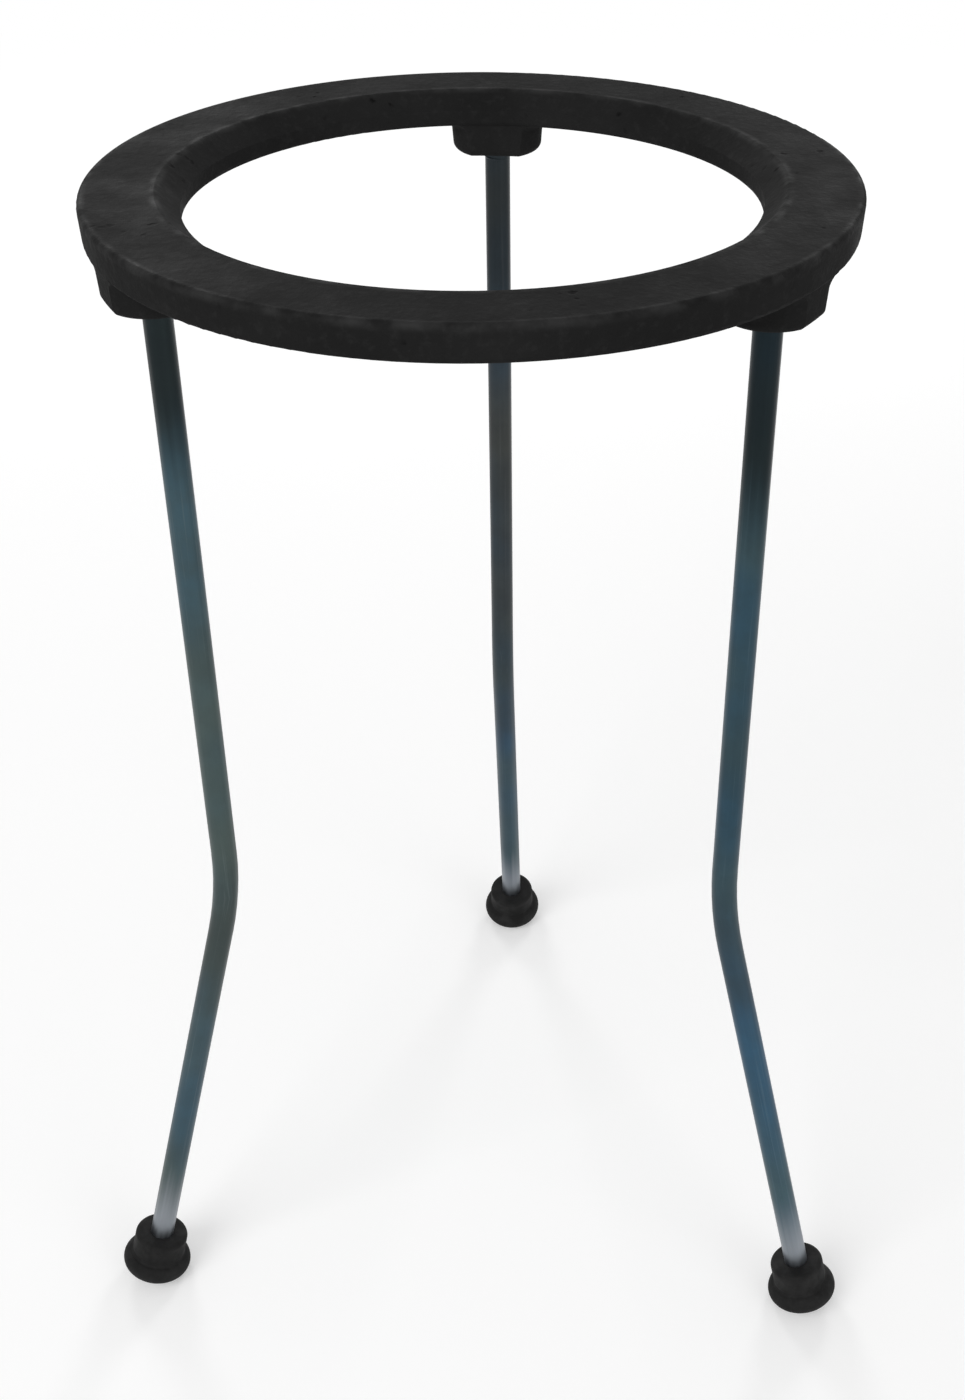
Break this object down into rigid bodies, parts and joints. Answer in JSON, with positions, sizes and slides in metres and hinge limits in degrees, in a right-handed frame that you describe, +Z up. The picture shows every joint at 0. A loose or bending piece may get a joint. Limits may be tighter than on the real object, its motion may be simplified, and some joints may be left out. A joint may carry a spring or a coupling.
{
  "type": "lab tripod stand",
  "caption": "Flat round ring with a tapered opening, held level on splayed bent-rod legs with push-on feet, to carry a vessel above a burner.",
  "frame": {"origin": "on the ring's axis, level with the bench on which the soles stand", "axes": "+Z up along the ring's axis; +Y towards the rear leg; +X towards the right leg's side"},
  "size_m": [0.153, 0.1507, 0.228],
  "materials": {
    "black_iron": "satin black stove enamel over a sand-cast skin",
    "plated_rod": "dull zinc plate, blue-grey",
    "black_rubber": "matt moulded"
  },
  "bodies": {
    "root": {"ring": "black_iron", "leg_rear": "plated_rod", "leg_left": "plated_rod", "leg_right": "plated_rod", "foot_rear": "black_rubber", "foot_left": "black_rubber", "foot_right": "black_rubber"}
  },
  "joints": []
}
